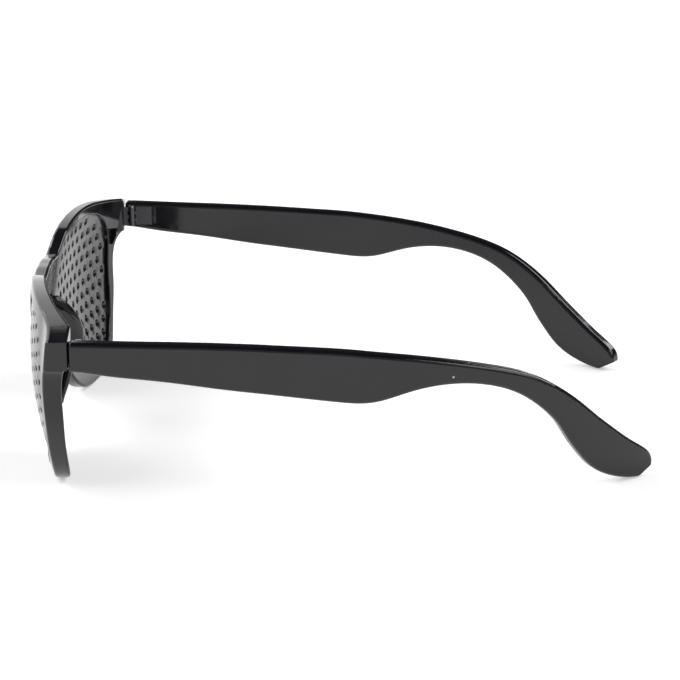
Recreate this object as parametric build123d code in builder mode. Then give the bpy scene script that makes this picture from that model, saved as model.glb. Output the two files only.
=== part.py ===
from build123d import *
import math
import os

os.makedirs("parts", exist_ok=True)

# Pinhole glasses, open and standing on the rims and the temple tips.
# +X is the wearer's left, -Y the front, +Z up, and Z = 0 is the surface that they stand on.
# Every piece is modelled for the wearer's left and mirrored to the right.

# Overall sizes, in millimetres
front_half_width = 71.0
front_height = 48.5
front_depth = 17.2
temple_reach = 140.0
overrun = 2.0

# Curves of the moulded front: arcs in plan, each up to its own distance from the middle,
# and a dome from top to bottom
middle_reach = 34.6
middle_radius = 243.0
wrap_reach = 57.0
wrap_radius = 106.0
end_radius = 40.0
rear_wrap_radius = 85.5
dome_radius = 90.0
dome_height = 29.5
front_wall = 3.5
front_edge_round = 0.9
rear_edge_round = 0.6
opening_round = 0.35

# The split between the front and the temples
split_gap = 0.2
split_y = (front_depth - temple_reach) / 2
apex_y = split_y - front_depth

# Perforated lenses and the groove that holds them
lens_thickness = 1.8
lens_rear_recess = 1.0
lens_lip = 0.8
lens_clearance = 0.05
hole_pitch = 3.91
hole_reach = 32.0
hole_front_radius = 0.6
hole_rear_radius = 0.95
hole_margin = 1.3
hole_sides = 8
outline_steps = 40

# Nose pads, moulded with the front
pad_reach = 7.0
pad_length = 8.6
pad_thickness = 3.0
pad_top = 32.0
pad_bottom = 10.0
pad_splay = 27.0
pad_inset = 9.4
pad_flare = 3.6

# Hinge lugs on the rear of the endpieces
lug_width = 8.5
lug_reach = 4.2
lug_depth = 5.0
lug_bottom = 36.0
lug_top = 43.9
lug_round = 1.8
heel_depth = 3.0

# Temples
temple_thickness = 3.7
temple_top = 43.4
temple_splay = 1.9
temple_straight = 64.0
temple_bend_radius = 135.0
temple_edge_round = 1.05
temple_end_round = 0.6

# Five-barrel hinges
pin_inset = 5.0
pin_setback = 2.0
barrel_radius = 0.95
barrel_play = 0.15
hinge_top = 42.3
knuckle_count = 5
knuckle_height = 1.08
knuckle_gap = 0.06
leaf_thickness = 0.9
leaf_length = 4.6
leaf_offset = 0.7
leaf_setback = 1.1
leaf_anchor = 3.4
leaf_clearance = 0.05
pocket_play = 1.2
screw_radius = 0.5
screw_clearance = 0.04
screw_head_radius = 0.8
screw_head_height = 0.45
screw_slot_width = 0.25
screw_slot_depth = 0.2

# Outlines in front view, as shares of the half width and of the height of the front
bridge_shares = [(0.0, 0.900), (0.061, 0.900), (0.118, 0.888), (0.1775, 0.879)]
brow_shares = [
    (0.1775, 0.879),
    (0.225, 0.903),
    (0.282, 0.944),
    (0.345, 0.973),
    (0.4225, 0.992),
    (0.521, 1.0),
    (0.634, 0.996),
    (0.746, 0.977),
    (0.845, 0.9525),
    (1.0, 0.899),
]
rim_side_shares = [
    (1.0, 0.755),
    (0.9225, 0.734),
    (0.882, 0.697),
    (0.866, 0.650),
    (0.848, 0.454),
    (0.799, 0.258),
    (0.704, 0.066),
    (0.549, 0.0),
]
rim_nose_shares = [
    (0.549, 0.0),
    (0.437, 0.006),
    (0.338, 0.037),
    (0.261, 0.107),
    (0.1915, 0.247),
    (0.145, 0.423),
    (0.118, 0.577),
    (0.082, 0.672),
    (0.0, 0.711),
]
opening_shares = [
    (0.218, 0.790),
    (0.272, 0.878),
    (0.338, 0.925),
    (0.437, 0.948),
    (0.563, 0.944),
    (0.676, 0.924),
    (0.772, 0.856),
    (0.815, 0.745),
    (0.817, 0.619),
    (0.806, 0.454),
    (0.775, 0.289),
    (0.690, 0.130),
    (0.606, 0.087),
    (0.493, 0.078),
    (0.380, 0.103),
    (0.289, 0.175),
    (0.225, 0.299),
    (0.190, 0.443),
    (0.1775, 0.598),
    (0.186, 0.711),
]
heel_shares = [
    (0.831, 0.766),
    (0.915, 0.766),
    (0.908, 0.742),
    (0.879, 0.706),
    (0.870, 0.685),
    (0.831, 0.685),
]

# Turn of each lens's rows of holes, and one hole to start from, as shares of the front
left_hole_turn = 18.5
left_hole_share = (0.682, 0.551)
right_hole_turn = 2.5
right_hole_share = (0.621, 0.679)

# Sections along a temple, square to its middle line: shares of the reach and of the top for
# the middle, a share of the top for the depth, and the fall of the middle line in degrees
temple_section_shares = [
    (0.000, 0.917, 0.166, 1.5),
    (0.064, 0.899, 0.189, 3.5),
    (0.129, 0.882, 0.207, 4),
    (0.193, 0.864, 0.228, 4.5),
    (0.257, 0.843, 0.251, 4.5),
    (0.322, 0.823, 0.267, 4.5),
    (0.386, 0.802, 0.281, 4),
    (0.450, 0.781, 0.293, 3),
    (0.508, 0.767, 0.279, 1.5),
    (0.565, 0.779, 0.207, 0),
    (0.622, 0.779, 0.145, 3),
    (0.679, 0.756, 0.113, 11),
    (0.729, 0.714, 0.111, 19),
    (0.772, 0.652, 0.129, 32),
    (0.809, 0.567, 0.152, 42),
    (0.842, 0.463, 0.180, 50),
    (0.868, 0.357, 0.221, 58),
    (0.893, 0.263, 0.258, 62),
    (0.918, 0.179, 0.286, 65),
    (0.944, 0.115, 0.281, 65),
    (0.966, 0.068, 0.226, 63),
    (0.980, 0.031, 0.129, 61),
]

# Nose pad levels: shares of the drop, of the reach behind the front, of the length, of the
# thickness and of the flare
pad_shares = [
    (0.0, 0.04, 0.22, 0.45, 0.0),
    (0.25, 0.31, 0.86, 0.92, 0.12),
    (0.50, 0.38, 1.0, 1.0, 0.38),
    (0.80, 0.18, 0.76, 0.9, 0.75),
    (1.0, 0.08, 0.32, 0.5, 1.2),
]


def front_points(shares):
    return [(x * front_half_width, z * front_height) for x, z in shares]


temple_front_y = split_y + split_gap / 2
temple_length = temple_reach - split_gap / 2

# The plan curves, as pairs of a distance from the middle and the radius up to there
end_reach = front_half_width + overrun
front_arcs = [(middle_reach, middle_radius), (wrap_reach, wrap_radius), (end_reach, -end_radius)]
rear_arcs = [(middle_reach, middle_radius - front_wall), (end_reach, rear_wrap_radius)]
rear_y = apex_y + front_wall
rear_dome_radius = dome_radius - front_wall


def next_lean(lean, run, radius):
    return math.asin(math.sin(lean) + run / radius)


def plan_line(start_y, arcs):
    point, x, lean = (0, start_y), 0, 0
    for reach, radius in arcs:
        turned = next_lean(lean, reach - x, radius)
        tangent = (math.cos(lean), math.sin(lean))
        arc = JernArc(point, tangent, abs(radius), math.degrees(turned - lean))
        point, x, lean = arc @ 1, reach, turned


def plan_depth(x, arcs):
    depth, from_x, lean = 0, 0, 0
    for reach, radius in arcs:
        to_x = min(max(x, from_x), reach)
        turned = next_lean(lean, to_x - from_x, radius)
        depth += radius * (math.cos(lean) - math.cos(turned))
        from_x, lean = to_x, turned
    return depth


def dome_rise(z, radius):
    return radius - math.sqrt(radius**2 - (z - dome_height) ** 2)


def front_surface_y(x, z):
    return apex_y + plan_depth(x, front_arcs) + dome_rise(z, dome_radius)


def rear_surface_y(x, z):
    return rear_y + plan_depth(x, rear_arcs) + dome_rise(z, rear_dome_radius)


# Section of the dome, from one depth behind a surface to another, to be swept along its plan
low_z = -overrun
high_z = front_height + overrun


def dome_arc(start_y, radius):
    low = (start_y + dome_rise(low_z, radius), low_z)
    high = (start_y + dome_rise(high_z, radius), high_z)
    return ThreePointArc(low, (start_y, dome_height), high)


def dome_solid(start_y, radius):
    near = dome_arc(start_y, radius)
    flat_y = start_y + front_depth + front_wall
    Polyline(near @ 1, (flat_y, high_z), (flat_y, low_z), near @ 0)


# Everything behind a surface that follows a plan curve at an offset towards the front
with BuildLine() as front_plan:
    plan_line(apex_y, front_arcs)

with BuildLine() as rear_plan:
    plan_line(rear_y, rear_arcs)


def behind_surface(plan, start_y, radius, offset_forward):
    with BuildPart() as behind:
        with BuildSketch(Plane.YZ):
            with BuildLine():
                dome_solid(start_y - offset_forward, radius + offset_forward)
            make_face()
        sweep(path=plan.wire())
    return behind.part


behind_front = behind_surface(front_plan, apex_y, dome_radius, 0)
behind_rear = behind_surface(rear_plan, rear_y, rear_dome_radius, 0)

# The sketches in front view lie on the face where the front meets the temples
split_plane = Plane.XZ.offset(split_gap / 2 - split_y)
through = front_depth + overrun

# Outer outline of the front, wearer's left half, cut to its curved front face
front_end_y = split_y - split_gap / 2
unit_speed = (1, 1)

with BuildPart() as front_blank:
    with BuildSketch(split_plane):
        with BuildLine():
            bridge = front_points(bridge_shares)
            brow = front_points(brow_shares)
            side = front_points(rim_side_shares)
            nose = front_points(rim_nose_shares)
            Spline(bridge, tangents=((1, 0), (1, -0.15)), tangent_scalars=unit_speed)
            Spline(brow)
            Line(brow[-1], side[0])
            Spline(side, tangents=((-1, -0.05), (-1, 0)), tangent_scalars=unit_speed)
            Spline(nose, tangents=((-1, 0), (-1, 0)), tangent_scalars=unit_speed)
            Line(nose[-1], bridge[0])
        make_face()
    extrude(amount=through)
    add(behind_front, mode=Mode.INTERSECT)

# Solid endpiece behind the brow, rounded on its inner edge
lug_front_y = split_y - lug_depth

with BuildPart() as lug:
    with BuildSketch(Plane.XY.offset(lug_bottom)):
        with Locations((front_half_width - lug_width, lug_front_y)):
            Rectangle(lug_reach, lug_depth - split_gap / 2, align=(Align.MIN, Align.MIN))
    extrude(amount=lug_top - lug_bottom)
    inner_edges = lug.edges().filter_by(Axis.Z).group_by(Axis.X)[0]
    fillet(inner_edges.sort_by(Axis.Y)[-1], lug_round)

# Heel that runs from the lug down the rim: its outline in front view, cut to a slope
with BuildPart() as heel:
    with BuildSketch(split_plane):
        with BuildLine():
            Polyline(front_points(heel_shares), close=True)
        make_face()
    extrude(amount=lug_depth)
    heel_top, heel_bottom = heel_shares[0][1] * front_height, heel_shares[-1][1] * front_height
    with BuildSketch(Plane.YZ):
        with BuildLine():
            Polyline(
                (lug_front_y - overrun, heel_bottom),
                (split_y - heel_depth, heel_bottom),
                (split_y - lug_round, lug_bottom),
                (split_y - lug_round, heel_top),
                (lug_front_y - overrun, heel_top),
                close=True,
            )
        make_face()
    extrude(amount=front_half_width, mode=Mode.INTERSECT)

# Nose pad: rounded sections stacked from top to bottom, leaning out towards the rear
pad_levels = []
for drop, reach, length, thickness, flare in pad_shares:
    level = pad_top - drop * (pad_top - pad_bottom)
    pad_x = pad_inset + flare * pad_flare
    pad_y = rear_surface_y(pad_x, level) + reach * pad_reach
    pad_levels.append((level, pad_x, pad_y, length * pad_length / 2, thickness * pad_thickness / 2))

with BuildPart() as left_pad:
    for level, pad_x, pad_y, half_length, half_thickness in pad_levels:
        with BuildSketch(Plane.XY.offset(level)):
            with Locations(Location((pad_x, pad_y), 90 - pad_splay)):
                Ellipse(half_length, half_thickness)
    loft()

# Outline of the lens opening, moved outwards all round by a growth
with BuildLine() as opening_line:
    Spline(front_points(opening_shares), periodic=True)


def lens_outline(growth):
    opening_edge = opening_line.edge()
    moved, along = [], []
    for number in range(outline_steps + 1):
        share = number % outline_steps / outline_steps
        along.append(opening_edge % share)
        moved.append(opening_edge @ share + Vector(-along[-1].Y, along[-1].X) * growth)
    half = outline_steps // 2
    with BuildSketch(split_plane) as outline:
        with BuildLine():
            turns = (along[0], along[half])
            Spline(moved[: half + 1], tangents=turns, tangent_scalars=unit_speed)
            Spline(moved[half:], tangents=turns[::-1], tangent_scalars=unit_speed)
        make_face()
    return outline.sketch


# A plate inside that outline, between two depths in front of the rear face
def lens_plate(growth, clearance):
    front_offset = lens_rear_recess + lens_thickness + clearance
    rear_offset = lens_rear_recess - clearance
    with BuildPart() as plate:
        with BuildSketch(split_plane):
            add(lens_outline(growth))
        extrude(amount=through)
        lens_front = behind_surface(rear_plan, rear_y, rear_dome_radius, front_offset)
        add(lens_front, mode=Mode.INTERSECT)
        lens_rear = behind_surface(rear_plan, rear_y, rear_dome_radius, rear_offset)
        add(lens_rear, mode=Mode.SUBTRACT)
    return plate.part


lens_blank = lens_plate(lens_lip, 0)
groove = lens_plate(lens_lip + lens_clearance, lens_clearance)

# Five-barrel hinge: sizes that its leaves, its screw, the lug and the temple share
pin_x = front_half_width - pin_inset
pin_y = split_y + pin_setback
hinge_height = knuckle_count * knuckle_height
hinge_bottom = hinge_top - hinge_height
leaf_x = pin_x + leaf_offset
leaf_y = pin_y + leaf_setback
anchor_y = split_y - leaf_anchor

# Moulded front, with rounded edges, lens openings, lens grooves, nose pads and hinge slots
def is_wall(face):
    return abs(face.normal_at(face.position_at(0.5, 0.5)).Y) < 0.001


def outline_edges(walls, least_depth, most_depth):
    chosen = ShapeList()
    for wall in walls.filter_by(is_wall):
        for edge in wall.edges():
            point = edge @ 0.5
            depth = point.Y - front_surface_y(point.X, point.Z)
            across = abs((edge % 0.5).Y) > 0.99 or point.X < split_gap
            if not across and least_depth <= depth <= most_depth:
                chosen.append(edge)
    return chosen


with BuildPart() as front_half:
    add(front_blank.part)
    add(behind_rear, mode=Mode.SUBTRACT)
    fillet(outline_edges(front_half.faces(), -split_gap, split_gap), front_edge_round)
    rear_outline = outline_edges(front_half.faces(), 2 * front_edge_round, front_depth)
    fillet(rear_outline, rear_edge_round)
    with BuildSketch(split_plane):
        add(lens_outline(0))
    extrude(amount=through, mode=Mode.SUBTRACT)
    opening_walls = front_half.faces(Select.LAST)
    fillet(outline_edges(opening_walls, 2 * front_edge_round, front_depth), opening_round)
    add(lug.part)
    add(heel.part)
    add(groove, mode=Mode.SUBTRACT)
    add(left_pad.part)
    with BuildSketch(Plane.XY.offset(hinge_bottom - leaf_clearance)):
        with Locations((pin_x, anchor_y - leaf_clearance)):
            slot_width = leaf_thickness + 2 * leaf_clearance
            slot_length = leaf_anchor + pin_setback
            Rectangle(slot_width, slot_length, align=(Align.CENTER, Align.MIN))
    extrude(amount=hinge_height + 2 * leaf_clearance, mode=Mode.SUBTRACT)

with BuildPart() as front_frame:
    add(front_half.part)
    mirror(front_half.part, about=Plane.YZ)

front_frame.part.label = "front_frame"
export_step(front_frame.part, "parts/front_frame.step")

# Lens: a curved plate with staggered rows of holes that widen towards the eye
with BuildPart() as hole_tool:
    with BuildSketch(Plane.XZ.offset(lens_thickness + lens_lip)):
        RegularPolygon(hole_front_radius, hole_sides)
    with BuildSketch(Plane.XZ):
        RegularPolygon(hole_rear_radius, hole_sides)
    loft()

with BuildSketch(split_plane) as holed_area:
    add(lens_outline(-hole_margin))



# Holes at the corners of equal triangles, turned about one of them, where the plate has room
def hole_places(first_share, turn):
    first_x, first_z = front_points([first_share])[0]
    along = Vector(hole_pitch, 0).rotate(Axis.Z, turn)
    aside = Vector(hole_pitch, 0).rotate(Axis.Z, turn + 60)
    reach = math.ceil(2 * hole_reach / hole_pitch)
    places = []
    for row in range(-reach, reach + 1):
        for step in range(-reach, reach + 1):
            x = first_x + step * along.X + row * aside.X
            z = first_z + step * along.Y + row * aside.Y
            if holed_area.sketch.is_inside(Vector(x, split_plane.origin.Y, z)):
                places.append((x, rear_surface_y(x, z) - lens_rear_recess + lens_lip / 2, z))
    return places


with BuildPart() as left_lens:
    add(lens_blank)
    with Locations(hole_places(left_hole_share, left_hole_turn)):
        add(hole_tool.part, mode=Mode.SUBTRACT)

left_lens.part.label = "left_lens"
export_step(left_lens.part, "parts/left_lens.step")

with BuildPart() as right_lens_mirrored:
    add(lens_blank)
    with Locations(hole_places(right_hole_share, right_hole_turn)):
        add(hole_tool.part, mode=Mode.SUBTRACT)

with BuildPart() as right_lens:
    mirror(right_lens_mirrored.part, about=Plane.YZ)

right_lens.part.label = "right_lens"
export_step(right_lens.part, "parts/right_lens.step")

# Temple: sections along a line that runs back, bends in round the head and hooks down
splay = math.radians(temple_splay)
pocket_floor_x = leaf_x + leaf_thickness + leaf_clearance


def temple_plane(along, up, fall):
    run = along * temple_length
    turned = splay
    x = front_half_width - temple_thickness / 2 - math.tan(splay) * min(run, temple_straight)
    if run > temple_straight:
        turned = next_lean(splay, run - temple_straight, temple_bend_radius)
        x -= temple_bend_radius * (math.cos(splay) - math.cos(turned))
    level, drop = math.cos(math.radians(fall)), math.sin(math.radians(fall))
    ahead = (-math.sin(turned) * level, math.cos(turned) * level, -drop)
    across = (math.cos(turned), math.sin(turned), 0)
    return Plane((x, temple_front_y + run, up * temple_top), x_dir=across, z_dir=ahead)


with BuildPart() as left_temple:
    for along, up, depth, fall in temple_section_shares:
        with BuildSketch(temple_plane(along, up, fall)):
            RectangleRounded(temple_thickness, depth * temple_top, temple_edge_round)
    loft()
    fillet(left_temple.faces().sort_by(Axis.Y)[0].edges(), temple_end_round)
    with BuildSketch(Plane.XY.offset(hinge_bottom - leaf_clearance)):
        with Locations((pocket_floor_x, pin_y - barrel_radius / 2)):
            pocket_width = temple_thickness
            pocket_length = leaf_y + leaf_length + pocket_play - pin_y + barrel_radius / 2
            Rectangle(pocket_width, pocket_length, align=(Align.MAX, Align.MIN))
    extrude(amount=hinge_height + 2 * leaf_clearance, mode=Mode.SUBTRACT)

left_temple.part.label = "left_temple"
export_step(left_temple.part, "parts/left_temple.step")

with BuildPart() as right_temple:
    mirror(left_temple.part, about=Plane.YZ)

right_temple.part.label = "right_temple"
export_step(right_temple.part, "parts/right_temple.step")


# Knuckles of one hinge leaf: every other barrel, each with an arm that reaches its plate
def knuckles(first, arm):
    with BuildPart() as barrels:
        for number in range(first, knuckle_count, 2):
            base = hinge_bottom + number * knuckle_height + knuckle_gap / 2
            with BuildSketch(Plane.XY.offset(base)):
                with Locations((pin_x, pin_y)):
                    Circle(barrel_radius)
                Polygon(*arm, align=None)
            extrude(amount=knuckle_height - knuckle_gap)
    return barrels.part


with BuildPart() as screw_bore:
    with BuildSketch(Plane.XY.offset(hinge_bottom - overrun)):
        with Locations((pin_x, pin_y)):
            Circle(screw_radius + screw_clearance)
    extrude(amount=hinge_height + 2 * overrun)

half_leaf = leaf_thickness / 2
leaf_base = hinge_bottom + knuckle_gap / 2
leaf_height = hinge_height - knuckle_gap
front_leaf_end = pin_y - barrel_radius - barrel_play

with BuildPart() as left_hinge_front_leaf:
    with BuildSketch(Plane.XY.offset(leaf_base)):
        with Locations((pin_x, anchor_y)):
            Rectangle(leaf_thickness, front_leaf_end - anchor_y, align=(Align.CENTER, Align.MIN))
    extrude(amount=leaf_height)
    near_x, far_x = pin_x - half_leaf, pin_x + half_leaf
    arm_start = front_leaf_end - half_leaf
    arm = [(near_x, arm_start), (far_x, arm_start), (far_x, pin_y), (near_x, pin_y)]
    add(knuckles(0, arm))
    add(screw_bore.part, mode=Mode.SUBTRACT)

left_hinge_front_leaf.part.label = "left_hinge_front_leaf"
export_step(left_hinge_front_leaf.part, "parts/left_hinge_front_leaf.step")

with BuildPart() as right_hinge_front_leaf:
    mirror(left_hinge_front_leaf.part, about=Plane.YZ)

right_hinge_front_leaf.part.label = "right_hinge_front_leaf"
export_step(right_hinge_front_leaf.part, "parts/right_hinge_front_leaf.step")

with BuildPart() as left_hinge_temple_leaf:
    with BuildSketch(Plane.XY.offset(leaf_base)):
        with Locations((leaf_x, leaf_y)):
            Rectangle(leaf_thickness, leaf_length, align=(Align.MIN, Align.MIN))
    extrude(amount=leaf_height)
    arm = [
        (pin_x + barrel_radius, pin_y),
        (leaf_x + leaf_thickness, leaf_y),
        (leaf_x + leaf_thickness, leaf_y + half_leaf),
        (leaf_x, leaf_y + half_leaf),
        (pin_x, pin_y + barrel_radius),
        (pin_x, pin_y),
    ]
    add(knuckles(1, arm))
    add(screw_bore.part, mode=Mode.SUBTRACT)

left_hinge_temple_leaf.part.label = "left_hinge_temple_leaf"
export_step(left_hinge_temple_leaf.part, "parts/left_hinge_temple_leaf.step")

with BuildPart() as right_hinge_temple_leaf:
    mirror(left_hinge_temple_leaf.part, about=Plane.YZ)

right_hinge_temple_leaf.part.label = "right_hinge_temple_leaf"
export_step(right_hinge_temple_leaf.part, "parts/right_hinge_temple_leaf.step")

# Hinge screw: shaft through the five knuckles, with a slotted head on the top one
with BuildPart() as left_hinge_screw:
    with BuildSketch(Plane.XY.offset(leaf_base)):
        with Locations((pin_x, pin_y)):
            Circle(screw_radius)
    extrude(amount=leaf_height)
    with BuildSketch(Plane.XY.offset(leaf_base + leaf_height)):
        with Locations((pin_x, pin_y)):
            Circle(screw_head_radius)
    extrude(amount=screw_head_height)
    with BuildSketch(Plane.XY.offset(leaf_base + leaf_height + screw_head_height)):
        with Locations((pin_x, pin_y)):
            Rectangle(2 * barrel_radius, screw_slot_width)
    extrude(amount=-screw_slot_depth, mode=Mode.SUBTRACT)

left_hinge_screw.part.label = "left_hinge_screw"
export_step(left_hinge_screw.part, "parts/left_hinge_screw.step")

with BuildPart() as right_hinge_screw:
    mirror(left_hinge_screw.part, about=Plane.YZ)

right_hinge_screw.part.label = "right_hinge_screw"
export_step(right_hinge_screw.part, "parts/right_hinge_screw.step")
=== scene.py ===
import math

import bmesh
import bpy
from mathutils import Matrix, Vector
from mathutils.bvhtree import BVHTree
from mathutils.geometry import delaunay_2d_cdt


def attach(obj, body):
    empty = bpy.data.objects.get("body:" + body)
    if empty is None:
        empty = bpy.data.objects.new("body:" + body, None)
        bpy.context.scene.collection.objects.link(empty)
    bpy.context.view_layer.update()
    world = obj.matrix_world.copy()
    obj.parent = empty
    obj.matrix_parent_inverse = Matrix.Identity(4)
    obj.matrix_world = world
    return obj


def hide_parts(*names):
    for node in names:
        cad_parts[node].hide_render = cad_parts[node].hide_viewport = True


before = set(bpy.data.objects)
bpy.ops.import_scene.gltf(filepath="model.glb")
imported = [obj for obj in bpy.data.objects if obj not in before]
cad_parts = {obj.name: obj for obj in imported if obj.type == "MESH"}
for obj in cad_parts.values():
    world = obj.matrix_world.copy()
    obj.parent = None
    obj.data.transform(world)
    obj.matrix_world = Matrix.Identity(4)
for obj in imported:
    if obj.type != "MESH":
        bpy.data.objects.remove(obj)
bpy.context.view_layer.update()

# Table and studio. The glasses stand open on a sheet of white paper in a dark tent. A tall white
# screen stands behind them on the front side, a low grey wall runs round, a higher one stands
# towards the camera, and four soft boxes hang above the corners.
table_reach = 1.4
table_drop = 0.0002
paper_white = 0.86
paper_glow = 0.42
screen_side = (0.105, 0.125)
screen_behind = (-0.35, -0.45)
screen_top = (0.650, 0.680)
screen_glow = 1.5
low_wall_top = (0.15, 0.20)
low_wall_glow = 0.4
near_wall_side = (-0.1, 0.2)
near_wall_top = (0.42, 0.58)
near_wall_glow = 0.4
tent_glow_above = 0.04
soft_box_place = (0.9, 1.6, 1.5)
soft_box_size = (1.4, 1.2)
soft_box_powers = {(-1, -1): 22, (1, -1): 17, (-1, 1): 23, (1, 1): 17}


def white_table_material():
    """White paper that looks brighter to the camera and in reflections than the lamps make it."""
    paper = bpy.data.materials.new("white_table_paper")
    paper.use_nodes = True
    nodes, links = paper.node_tree.nodes, paper.node_tree.links
    nodes.clear()
    output = nodes.new("ShaderNodeOutputMaterial")
    diffuse = nodes.new("ShaderNodeBsdfDiffuse")
    diffuse.inputs["Color"].default_value = (paper_white, paper_white, paper_white, 1)
    bright = nodes.new("ShaderNodeEmission")
    bright.inputs["Color"].default_value = (1, 1, 1, 1)
    bright.inputs["Strength"].default_value = paper_glow
    ray = nodes.new("ShaderNodeLightPath")
    seen = nodes.new("ShaderNodeMath")
    seen.operation = "MAXIMUM"
    links.new(ray.outputs["Is Camera Ray"], seen.inputs[0])
    links.new(ray.outputs["Is Glossy Ray"], seen.inputs[1])
    lit = nodes.new("ShaderNodeAddShader")
    links.new(diffuse.outputs[0], lit.inputs[0])
    links.new(bright.outputs[0], lit.inputs[1])
    chosen = nodes.new("ShaderNodeMixShader")
    links.new(seen.outputs[0], chosen.inputs["Fac"])
    links.new(diffuse.outputs[0], chosen.inputs[1])
    links.new(lit.outputs[0], chosen.inputs[2])
    links.new(chosen.outputs[0], output.inputs["Surface"])
    return paper


table_corners = [(table_reach * x, table_reach * y, -table_drop)
                 for x, y in ((-1, -1), (1, -1), (1, 1), (-1, 1))]
table_mesh = bpy.data.meshes.new("studio_table")
table_mesh.from_pydata(table_corners, [], [(0, 1, 2, 3)])
table = bpy.data.objects.new("studio_table", table_mesh)
bpy.context.scene.collection.objects.link(table)
table.data.materials.append(white_table_material())


def stepped(nodes, links, source, edge, low, high):
    """A value that goes smoothly from low to high while the source crosses the edge."""
    step = nodes.new("ShaderNodeMapRange")
    step.interpolation_type = "SMOOTHSTEP"
    step.inputs["From Min"].default_value, step.inputs["From Max"].default_value = edge
    step.inputs["To Min"].default_value = low
    step.inputs["To Max"].default_value = high
    links.new(source, step.inputs["Value"])
    return step.outputs["Result"]


world = bpy.data.worlds.new("studio_tent")
bpy.context.scene.world = world
world.use_nodes = True
tent_nodes, tent_links = world.node_tree.nodes, world.node_tree.links
tent_nodes.clear()
tent_output = tent_nodes.new("ShaderNodeOutputWorld")
tent_light = tent_nodes.new("ShaderNodeBackground")
tent_light.inputs["Color"].default_value = (1, 1, 1, 1)
tent_way = tent_nodes.new("ShaderNodeTexCoord")
tent_axes = tent_nodes.new("ShaderNodeSeparateXYZ")
tent_links.new(tent_way.outputs["Generated"], tent_axes.inputs[0])
along, across, up = (tent_axes.outputs[axis] for axis in "XYZ")


def tent_sum(operation, first, second):
    node = tent_nodes.new("ShaderNodeMath")
    node.operation = operation
    tent_links.new(first, node.inputs[0])
    tent_links.new(second, node.inputs[1])
    return node.outputs[0]


def tent_step(source, edge, low, high):
    return stepped(tent_nodes, tent_links, source, edge, low, high)


beside = tent_step(tent_sum("DIVIDE", across, along), screen_side, 0, 1)
screen = tent_sum("MULTIPLY", beside, tent_step(along, screen_behind, 0, 1))
screen = tent_sum("MULTIPLY", screen, tent_step(up, screen_top, screen_glow, 0))
low_wall = tent_step(up, low_wall_top, low_wall_glow, tent_glow_above)
near_wall = tent_sum("MULTIPLY", tent_step(along, near_wall_side, 0, 1),
                     tent_step(up, near_wall_top, near_wall_glow, 0))
tent_ray = tent_nodes.new("ShaderNodeLightPath")
tent_glow = tent_sum("MAXIMUM", tent_sum("MAXIMUM", screen, low_wall), near_wall)
tent_glow = tent_sum("MAXIMUM", tent_glow, tent_ray.outputs["Is Camera Ray"])
tent_links.new(tent_glow, tent_light.inputs["Strength"])
tent_links.new(tent_light.outputs[0], tent_output.inputs["Surface"])


def soft_box(name, place, power):
    lamp = bpy.data.lights.new(name, "AREA")
    lamp.shape = "RECTANGLE"
    lamp.size, lamp.size_y = soft_box_size
    lamp.energy = power
    box = bpy.data.objects.new(name, lamp)
    bpy.context.scene.collection.objects.link(box)
    box.location = place
    box.rotation_euler = (-place).to_track_quat("-Z", "Y").to_euler()


for number, (corner, power) in enumerate(soft_box_powers.items(), 1):
    place = Vector((corner[0] * soft_box_place[0], corner[1] * soft_box_place[1], soft_box_place[2]))
    soft_box("soft_box_%d" % number, place, power)

bpy.context.scene.view_settings.view_transform = "Standard"

# Camera. It looks at the wearer's left side from a little above, along the length of the front.
# Its place, turn, dip and tilt follow from where the glasses' outline lies in the picture.
camera_place = Vector((0.60548, 0.0101, 0.20701))
camera_turn = math.radians(0.86)
camera_dip = math.radians(16.979)
camera_tilt = math.radians(-0.679)

ahead = Vector((-math.cos(camera_dip) * math.cos(camera_turn),
                -math.cos(camera_dip) * math.sin(camera_turn),
                -math.sin(camera_dip)))
level = Vector((-math.sin(camera_turn), math.cos(camera_turn), 0))
upright = level.cross(ahead)
sideways = math.cos(camera_tilt) * level + math.sin(camera_tilt) * upright
skyward = -math.sin(camera_tilt) * level + math.cos(camera_tilt) * upright

lens_data = bpy.data.cameras.new("photo_camera")
lens_data.sensor_width = 36
lens_data.lens = 127.52
lens_data.clip_start = 0.01
lens_data.clip_end = 20
camera = bpy.data.objects.new("photo_camera", lens_data)
bpy.context.scene.collection.objects.link(camera)
camera.matrix_world = Matrix.Translation(camera_place) @ Matrix(
    (sideways, skyward, -ahead)).transposed().to_4x4()
bpy.context.scene.camera = camera

# Front. One injection moulding in polished black plastic: brow, bridge, two rims, nose pads and
# the endpieces that carry the hinges. Its polish has soft waves and a few specks of dust.
cloud_scale = 90
cloud_detail = 4
cloud_spread = (0.35, 0.7)
shade_spread = (0.85, 1.15)
gloss_cloud = (0.3, 0.75)
gloss_spread = (0.8, 1.3)
dust_colour = (0.6, 0.6, 0.58, 1)
dust_scale = 110
dust_size = 0.035
dust_core = 0.6


def shaded(colour, share):
    return tuple(part * share for part in colour) + (1,)


def dust_specks(nodes, links, where):
    cell = nodes.new("ShaderNodeTexVoronoi")
    cell.inputs["Scale"].default_value = dust_scale
    links.new(where, cell.inputs["Vector"])
    return stepped(nodes, links, cell.outputs["Distance"], (dust_size, dust_size * dust_core), 0, 1)


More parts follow.
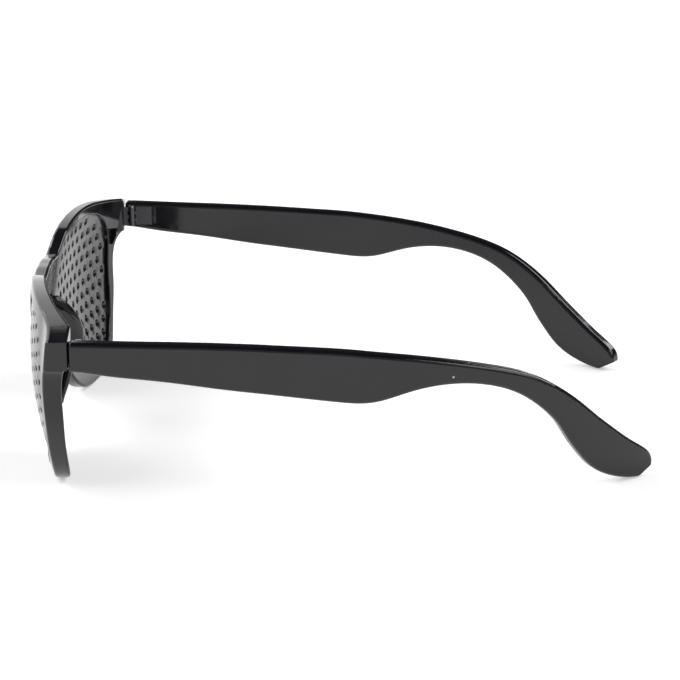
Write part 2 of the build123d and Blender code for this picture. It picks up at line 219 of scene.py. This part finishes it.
def moulded_plastic(name, colour, index, gloss, grain_size, grain_depth):
    """Black plastic from a mould, clouded a little, with a fine grain and specks of dust."""
    plastic = bpy.data.materials.new(name)
    plastic.use_nodes = True
    nodes, links = plastic.node_tree.nodes, plastic.node_tree.links
    shader = nodes["Principled BSDF"]
    shader.inputs["IOR"].default_value = index
    where = nodes.new("ShaderNodeTexCoord").outputs["Object"]
    cloud = nodes.new("ShaderNodeTexNoise")
    cloud.inputs["Scale"].default_value = cloud_scale
    cloud.inputs["Detail"].default_value = cloud_detail
    links.new(where, cloud.inputs["Vector"])
    tint = nodes.new("ShaderNodeValToRGB")
    for stop, position, share in zip(tint.color_ramp.elements, cloud_spread, shade_spread):
        stop.position = position
        stop.color = shaded(colour, share)
    links.new(cloud.outputs["Fac"], tint.inputs["Fac"])
    dusty = nodes.new("ShaderNodeMix")
    dusty.data_type = "RGBA"
    dusty.inputs["B"].default_value = dust_colour
    links.new(dust_specks(nodes, links, where), dusty.inputs["Factor"])
    links.new(tint.outputs["Color"], dusty.inputs["A"])
    links.new(dusty.outputs["Result"], shader.inputs["Base Color"])
    rough = stepped(nodes, links, cloud.outputs["Fac"], gloss_cloud,
                    gloss * gloss_spread[0], gloss * gloss_spread[1])
    links.new(rough, shader.inputs["Roughness"])
    grain = nodes.new("ShaderNodeTexNoise")
    grain.inputs["Scale"].default_value = 1 / grain_size
    grain.inputs["Detail"].default_value = 2
    links.new(where, grain.inputs["Vector"])
    bump = nodes.new("ShaderNodeBump")
    bump.inputs["Strength"].default_value = 1
    bump.inputs["Distance"].default_value = grain_depth
    links.new(grain.outputs["Fac"], bump.inputs["Height"])
    links.new(bump.outputs["Normal"], shader.inputs["Normal"])
    return plastic


black_frame_plastic = moulded_plastic(
    "polished_black_plastic", colour=(0.006, 0.0065, 0.009), index=1.49, gloss=0.09,
    grain_size=0.0045, grain_depth=0.00003)
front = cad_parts["front_frame"]
front.data.materials.clear()
front.data.materials.append(black_frame_plastic)

# Lenses. Curved plates of satin black plastic with staggered rows of round holes that widen
# towards the eye, snapped into the grooves of the rims. Each is drawn again from the outline
# and the two curved faces of its plate, with a fine bevel at every mouth.
hole_pitch = 0.00391
# One hole's place across and up in each lens, and the turn of its rows in degrees.
hole_starts = {"left": (0.04842, 0.02672, 18.5), "right": (0.04409, 0.03293, 2.5)}
row_slant = 60
rows_each_way = 20
rim_margin = 0.0019
front_mouth = 0.00070
rear_mouth = 0.00100
mouth_bevel = 0.00012
hole_sides = 24
grid_step = 0.0021
grid_rows = 26
grid_margin = 0.0004
mouth_share = 0.985
in_front = 0.2
to_mm = 1000
weld_reach = 1e-7
merge_reach = 1e-6
keep_inside = 1
sharp_corner = math.radians(60)
smooth_corner = math.radians(30)


def edge_loops(edges):
    """The corners of each loop of edges, in the order in which they follow each other."""
    left = dict.fromkeys(edges)
    while left:
        edge = next(iter(left))
        del left[edge]
        corner = edge.verts[1]
        places = [corner.co.copy()]
        while True:
            edge = next((other for other in corner.link_edges if other in left), None)
            if edge is None:
                break
            del left[edge]
            corner = edge.other_vert(corner)
            places.append(corner.co.copy())
        yield places


def encloses(outline, x, z):
    crossed = False
    for first, last in zip(outline, outline[1:] + outline[:1]):
        if (first.z > z) != (last.z > z):
            if x < first.x + (last.x - first.x) * (z - first.z) / (last.z - first.z):
                crossed = not crossed
    return crossed


def room_round(places, x, z):
    return min(math.hypot(place.x - x, place.z - z) for place in places)


def hole_middles(side, outline):
    """Places of the holes, on equal triangles turned from the level as the rows are."""
    start_x, start_z, turn = hole_starts[side]
    hand = 1 if side == "left" else -1
    step_turn, row_turn = math.radians(turn), math.radians(turn + row_slant)
    places = range(-rows_each_way, rows_each_way + 1)
    middles = []
    for row in places:
        for step in places:
            reach_x = step * math.cos(step_turn) + row * math.cos(row_turn)
            reach_z = step * math.sin(step_turn) + row * math.sin(row_turn)
            x = hand * (start_x + hole_pitch * reach_x)
            z = start_z + hole_pitch * reach_z
            if room_round(outline, x, z) > rim_margin and encloses(outline, x, z):
                middles.append(Vector((x, 0, z)))
    return middles


def circle(middle, reach):
    turns = [2 * math.pi * step / hole_sides for step in range(hole_sides)]
    return [(middle.x + reach * math.cos(turn), middle.z + reach * math.sin(turn)) for turn in turns]


def closed(first, count):
    return [(first + step, first + (step + 1) % count) for step in range(count)]


def grid_points(outline, middles, reach):
    """Staggered points between the holes, which let the face follow the plate's curve."""
    low_x, low_z = min(place.x for place in outline), min(place.z for place in outline)
    points = []
    for column in range(grid_rows):
        for row in range(grid_rows):
            x = low_x + (column + 0.5 * (row % 2)) * grid_step
            z = low_z + row * grid_step
            if room_round(middles, x, z) > reach + grid_margin and encloses(outline, x, z):
                points.append((x, z))
    return points


def lens_face(shape, plate, outline, middles, reach, facing):
    """One curved face of a lens; gives its outer edge and the ring of corners at each mouth."""
    flat = [(place.x, place.z) for place in outline]
    edges = closed(0, len(flat))
    for middle in middles:
        edges += closed(len(flat), hole_sides)
        flat += circle(middle, reach)
    fixed = len(flat)
    flat += grid_points(outline, middles, reach)
    points = [Vector((x * to_mm, z * to_mm)) for x, z in flat]
    made, _, faces, origins, _, _ = delaunay_2d_cdt(points, edges, [], keep_inside, merge_reach)
    corners, known = [], {}
    for point, sources in zip(made, origins):
        x, z = point.x / to_mm, point.y / to_mm
        source = sources[0] if sources else fixed
        if source < len(outline):
            depth = outline[source].y
        else:
            eye = Vector((x, facing * in_front, z))
            depth = plate.ray_cast(eye, Vector((0, -facing, 0)))[0].y
        corners.append(shape.verts.new((x, depth, z)))
        known[source] = corners[-1]
    for face in faces:
        x = sum(made[number].x for number in face) / len(face) / to_mm
        z = sum(made[number].y for number in face) / len(face) / to_mm
        if room_round(middles, x, z) > mouth_share * reach:
            shape.faces.new([corners[number] for number in face])
    rings = [[known[first + step] for step in range(hole_sides)]
             for first in range(len(outline), fixed, hole_sides)]
    return rings, [known[step] for step in range(len(outline))]


def sunk_ring(shape, ring, middle, reach, facing):
    return [shape.verts.new((x, corner.co.y - facing * mouth_bevel, z))
            for corner, (x, z) in zip(ring, circle(middle, reach))]


def wall(shape, first, second):
    for step in range(len(first)):
        following = (step + 1) % len(first)
        shape.faces.new((first[step], first[following], second[following], second[step]))


def plate_outlines(plate):
    """The sharp outer edges of the plate's front face and of its rear face, in that order."""
    sharp = [edge for edge in plate.edges
             if len(edge.link_faces) == 2 and edge.calc_face_angle() > sharp_corner]
    longest = sorted(edge_loops(sharp), key=len)[-2:]
    return sorted(longest, key=lambda places: sum(place.y for place in places) / len(places))


def drilled_lens(name, node, side):
    plate = bmesh.new()
    plate.from_mesh(node.data)
    bmesh.ops.remove_doubles(plate, verts=plate.verts, dist=weld_reach)
    front_outline, rear_outline = plate_outlines(plate)
    tree = BVHTree.FromBMesh(plate)
    plate.free()
    middles = hole_middles(side, rear_outline)
    shape = bmesh.new()
    front_rings, front_edge = lens_face(
        shape, tree, front_outline, middles, front_mouth + mouth_bevel, -1)
    rear_rings, rear_edge = lens_face(
        shape, tree, rear_outline, middles, rear_mouth + mouth_bevel, 1)
    for middle, ring, rear_ring in zip(middles, front_rings, rear_rings):
        sunk = sunk_ring(shape, ring, middle, front_mouth, -1)
        rear_sunk = sunk_ring(shape, rear_ring, middle, rear_mouth, 1)
        wall(shape, ring, sunk)
        wall(shape, sunk, rear_sunk)
        wall(shape, rear_sunk, rear_ring)
    rims = [shape.edges.get((edge[step], edge[(step + 1) % len(edge)]))
            for edge in (front_edge, rear_edge) for step in range(len(edge))]
    bmesh.ops.bridge_loops(shape, edges=rims)
    bmesh.ops.triangulate(shape, faces=shape.faces)
    bmesh.ops.recalc_face_normals(shape, faces=shape.faces)
    mesh = bpy.data.meshes.new(name)
    shape.to_mesh(mesh)
    shape.free()
    mesh.shade_smooth()
    mesh.set_sharp_from_angle(angle=smooth_corner)
    lens = bpy.data.objects.new(name, mesh)
    bpy.context.scene.collection.objects.link(lens)
    return lens


satin_lens_plastic = moulded_plastic(
    "satin_black_lens_plastic", colour=(0.006, 0.0062, 0.007), index=1.74, gloss=0.16,
    grain_size=0.0006, grain_depth=0.00002)
for side in ("left", "right"):
    lens = drilled_lens(side + "_pinhole_lens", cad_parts[side + "_lens"], side)
    lens.data.materials.append(satin_lens_plastic)
    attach(lens, "front")
    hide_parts(side + "_lens")

# Hinges. Five barrels on each side, two on the leaf let into the lug of the front and three on
# the leaf let into the temple, in blackened steel. A slotted screw in brighter steel runs
# through all five.
steel_grain = (900, 900, 9000)
steel_shades = (0.8, 1.1)


def drawn_steel(name, colour, gloss):
    """Steel with the fine level lines that drawing leaves."""
    steel = bpy.data.materials.new(name)
    steel.use_nodes = True
    nodes, links = steel.node_tree.nodes, steel.node_tree.links
    shader = nodes["Principled BSDF"]
    shader.inputs["Metallic"].default_value = 1
    where = nodes.new("ShaderNodeTexCoord")
    stretch = nodes.new("ShaderNodeMapping")
    stretch.inputs["Scale"].default_value = steel_grain
    links.new(where.outputs["Object"], stretch.inputs["Vector"])
    grain = nodes.new("ShaderNodeTexNoise")
    grain.inputs["Scale"].default_value = 1
    links.new(stretch.outputs["Vector"], grain.inputs["Vector"])
    tint = nodes.new("ShaderNodeValToRGB")
    for stop, share in zip(tint.color_ramp.elements, steel_shades):
        stop.color = shaded(colour, share)
    links.new(grain.outputs["Fac"], tint.inputs["Fac"])
    links.new(tint.outputs["Color"], shader.inputs["Base Color"])
    sheen = nodes.new("ShaderNodeMapRange")
    sheen.inputs["To Min"].default_value = gloss * gloss_spread[0]
    sheen.inputs["To Max"].default_value = gloss * gloss_spread[1]
    links.new(grain.outputs["Fac"], sheen.inputs["Value"])
    links.new(sheen.outputs["Result"], shader.inputs["Roughness"])
    return steel


blackened_steel = drawn_steel("satin_hinge_steel", colour=(0.10, 0.10, 0.105), gloss=0.36)
bright_steel = drawn_steel("bright_screw_steel", colour=(0.30, 0.30, 0.30), gloss=0.22)
for side in ("left", "right"):
    for leaf_name in (side + "_hinge_front_leaf", side + "_hinge_temple_leaf"):
        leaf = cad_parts[leaf_name]
        leaf.data.materials.clear()
        leaf.data.materials.append(blackened_steel)
    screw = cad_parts[side + "_hinge_screw"]
    screw.data.materials.clear()
    screw.data.materials.append(bright_steel)

# Temples. Solid bars moulded in the same polished black plastic as the front, which bend in
# round the head and hook down behind the ear to a paddle-shaped tip.
for name in ("left_temple", "right_temple"):
    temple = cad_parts[name]
    temple.data.materials.clear()
    temple.data.materials.append(black_frame_plastic)
